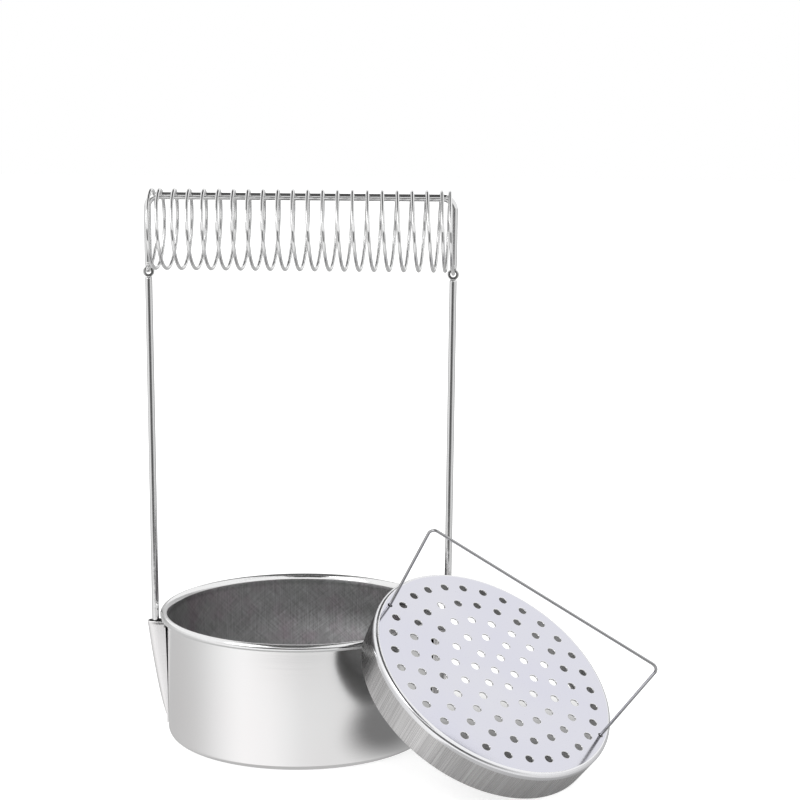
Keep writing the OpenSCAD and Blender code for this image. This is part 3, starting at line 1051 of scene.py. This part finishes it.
def make_bail():
    """Bent wire: hooked foot, leaning leg, corner, bar and back down, through the plate's two holes."""
    hole = Vector((BAIL_X, 0, -STRAINER_T / 2))
    slope = BAIL_SPLAY / (BAIL_H - hole.z)
    heel = Vector((BAIL_X + (FOOT_Z - hole.z) * slope, 0, FOOT_Z))
    top = Vector((BAIL_X + BAIL_SPLAY, 0, BAIL_H))
    tip = heel - Vector((FOOT_BEND_R + FOOT_L, 0, 0))
    middle = Vector((0, 0, BAIL_H))
    heel_bend = bend_points(tip, heel, top, FOOT_BEND_R, steps=10)
    top_bend = bend_points(heel, top, middle, BAIL_BEND_R, steps=14)
    half = straight(tip, heel_bend[0], steps=4) + heel_bend
    half += straight(heel_bend[-1], top_bend[0], steps=14) + top_bend
    half += straight(top_bend[-1], middle, steps=16)
    other = [Vector((-p.x, p.y, p.z)) for p in half[::-1]]
    bm = bmesh.new()
    sweep_wire(bm, without_repeats(half + other), BAIL_R, BAIL_SIDES)
    bail = finish_mesh("bail_wire", bm, [BAIL], place=LEANING)
    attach(bail, "bail")
    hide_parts("strainer_bail")


make_tank()
make_socket("left_socket_sheet", "left_socket", -1)
make_socket("right_socket_sheet", "right_socket", 1)
make_rack()
make_coil()
make_strainer()
make_bail()


# Studio, in metres
SURROUND_R = 0.6
SURROUND_BASE_Z = -0.6
SURROUND_TOP_Z = 0.25
SURROUND_SIDES = 96
STEP_Z = -0.0075
STEP_HALF = 0.015
STEP_SLOPE = 0.129

# Degrees run from the camera's side to its right; levels are what upright metal mirrors there,
# below and above a soft step in the wall
SURROUND_LOW = [(-180, 0.5), (-150, 0.58), (-125, 0.6), (-105, 0.64), (-93, 0.68), (-80, 0.77), (-68, 0.89),
                (-56, 1.0), (-43, 1.08), (-18, 1.04), (-6, 0.97), (7, 0.88), (25, 0.85), (45, 0.84),
                (80, 0.72), (130, 0.5), (180, 0.5)]
SURROUND_HIGH = [(-180, 0.62), (-135, 0.45), (-105, 0.8), (-70, 1.0), (-45, 0.8), (-22, 0.12), (18, 0.1),
                 (40, 0.45), (62, 0.9), (90, 0.8), (125, 0.45), (180, 0.62)]

# Floor: how white it is and how much light it gives off, and the level of the sky over it
FLOOR_Z = -0.0001
FLOOR_HALF = 6.0
FLOOR_WHITE = 0.8
FLOOR_LIFT = 0.7
SKY_LEVEL = 0.8

# Painted shadow, a soft grey patch on the floor under the strainer that the lower drain holes show: an
# oval, from which share of its half widths its edge fades, over which Y it fades backwards, and how white
# it is
SHADE_CENTRE = (0.094, 0.01)
SHADE_SIZE = (0.046, 0.092)
SHADE_EDGE = (0.78, 0.98)
SHADE_Y = (-0.03, 0.11)
SHADE_WHITE = 0.35


def only_in_metal(obj):
    """Hides a studio wall from everything but reflections."""
    obj.visible_camera = False
    obj.visible_diffuse = False
    obj.visible_shadow = False
    obj.visible_transmission = False
    obj.visible_volume_scatter = False


def add_sheet(name, rows, mat):
    """A studio surface through rows of points."""
    bm = bmesh.new()
    previous = None
    for row in rows:
        ring = [bm.verts.new(p) for p in row]
        if previous:
            bridge(bm, previous, ring, closed=False)
        previous = ring
    mesh = bpy.data.meshes.new(name)
    bm.to_mesh(mesh)
    bm.free()
    mesh.materials.append(mat)
    return link(name, mesh)


def level_rows(half_x, half_y, z=0):
    """Corners of a level rectangle about the origin, in two rows."""
    return [[(x, y, z) for x in (-half_x, half_x)] for y in (-half_y, half_y)]


def surround_material():
    """Brightness by compass direction: one run below the soft step and one above it."""
    s = Glow("surround")
    spot = s.split()
    front = s.maths("MULTIPLY", spot.outputs["Y"], -1)
    turn = s.run(s.maths("ARCTAN2", spot.outputs["X"], front), -math.pi, math.pi)
    low, high = (s.ramp(turn, [((degrees + 180) / 360, level) for degrees, level in stops])
                 for stops in (SURROUND_LOW, SURROUND_HIGH))
    height = s.maths("ADD", spot.outputs["Z"], s.maths("MULTIPLY", front, STEP_SLOPE))
    above = s.run(height, STEP_Z - STEP_HALF, STEP_Z + STEP_HALF)
    s.join(s.light(s.blend(above, low, high)), s.surface)
    return s.mat


def add_surround():
    """Low round wall, open above, that the upright metal mirrors."""
    turns = [2 * math.pi * k / SURROUND_SIDES for k in range(SURROUND_SIDES + 1)]
    rows = [[(SURROUND_R * math.cos(t), SURROUND_R * math.sin(t), z) for t in turns]
            for z in (SURROUND_BASE_Z, 0, SURROUND_TOP_Z)]
    only_in_metal(add_sheet("surround", rows, surround_material()))


def card_material(name, level, fade):
    """One brightness, seen from below only; or, with fade, seen from both sides and full as far
    from the centre as its first number, in metres, and gone at its second."""
    s = Glow(name)
    if fade:
        full, gone = fade
        shown = s.run(s.vector("LENGTH", s.coords()), gone, full, interpolation_type="SMOOTHSTEP")
    else:
        shown = s.node("NewGeometry").outputs["Backfacing"]
    card = s.node("MixShader")
    s.feed(card.inputs, (shown, s.node("BsdfTransparent").outputs[0], s.light(grey(level))))
    s.join(card.outputs[0], s.surface)
    return s.mat


def add_card(name, centre, size, level, fade=None):
    """A level card that only metal mirrors."""
    card = add_sheet(name, level_rows(size[0] / 2, size[1] / 2), card_material(name, level, fade))
    card.location = centre
    only_in_metal(card)


def floor_material():
    """White with a soft grey patch of painted shadow; where it is white it also gives off a little light.
    """
    s = Shader("floor_white", (FLOOR_WHITE, FLOOR_WHITE, FLOOR_WHITE), 1, metallic=0)
    s.bsdf.inputs["Specular IOR Level"].default_value = 0
    place = s.node("Mapping", vector_type="TEXTURE")
    place.inputs["Location"].default_value = (*SHADE_CENTRE, 0)
    place.inputs["Scale"].default_value = (*SHADE_SIZE, 1)
    s.join(s.coords(), place.inputs["Vector"])
    outside = s.run(s.vector("LENGTH", place.outputs[0]), *SHADE_EDGE, interpolation_type="SMOOTHSTEP")
    behind = s.along("Y", *SHADE_Y, interpolation_type="SMOOTHSTEP")
    bright = s.maths("MAXIMUM", outside, behind)
    s.colour(s.blend(bright, grey(SHADE_WHITE), grey(FLOOR_WHITE)))
    glow = s.node("Emission")
    s.join(s.maths("MULTIPLY", bright, FLOOR_LIFT), glow.inputs["Strength"])
    both = s.node("AddShader")
    s.feed(both.inputs, (s.bsdf.outputs[0], glow.outputs[0]))
    s.join(both.outputs[0], s.tree.nodes["Material Output"].inputs["Surface"])
    return s.mat


def add_floor():
    """Floor that shows shadow; metal mirrors the surround in its place."""
    floor = add_sheet("floor", level_rows(FLOOR_HALF, FLOOR_HALF, FLOOR_Z), floor_material())
    floor.visible_glossy = False


def add_world():
    """White where it is seen, directly or in metal, and a plain soft level for diffuse light."""
    world = bpy.data.worlds.new("studio")
    bpy.context.scene.world = world
    s = Nodes(world)
    back = s.tree.nodes["Background"]
    back.inputs["Color"].default_value = grey(1)
    path = s.node("LightPath")
    seen = path.outputs["Is Camera Ray"]
    for name in ("Is Glossy Ray", "Is Transmission Ray"):
        seen = s.maths("MAXIMUM", seen, path.outputs[name])
    s.join(s.run(seen, 0, 1, SKY_LEVEL, 1), back.inputs["Strength"])


def add_lamp(name, place, target, size, power):
    """Soft rectangular lamp aimed at a target."""
    data = bpy.data.lights.new(name, "AREA")
    data.shape = "RECTANGLE"
    data.size, data.size_y = size
    data.energy = power
    lamp = bpy.data.objects.new(name, data)
    lamp.rotation_mode = "QUATERNION"
    lamp.rotation_quaternion = (Vector(target) - Vector(place)).to_track_quat("-Z", "Y")
    lamp.location = place
    bpy.context.scene.collection.objects.link(lamp)


add_floor()
add_surround()
add_card("card_overhead", centre=(-0.02, -0.08, 0.6), size=(0.36, 1.4), level=0.1)
add_card("card_below", centre=(0, 0, SURROUND_BASE_Z), size=(1.2, 1.2), level=0.55, fade=(2, 3))
# card_shade is a painted shadow: a dark spot under the strainer that only metal mirrors
add_card("card_shade", centre=(0.088, -0.056, 0.0003), size=(0.16, 0.16), level=0.2, fade=(0.02, 0.06))
add_world()
add_lamp("key_lamp", place=(-0.9, -0.9, 1.1), target=(0, 0, 0.08), size=(0.7, 0.9), power=4)

bpy.context.scene.view_settings.view_transform = "Standard"
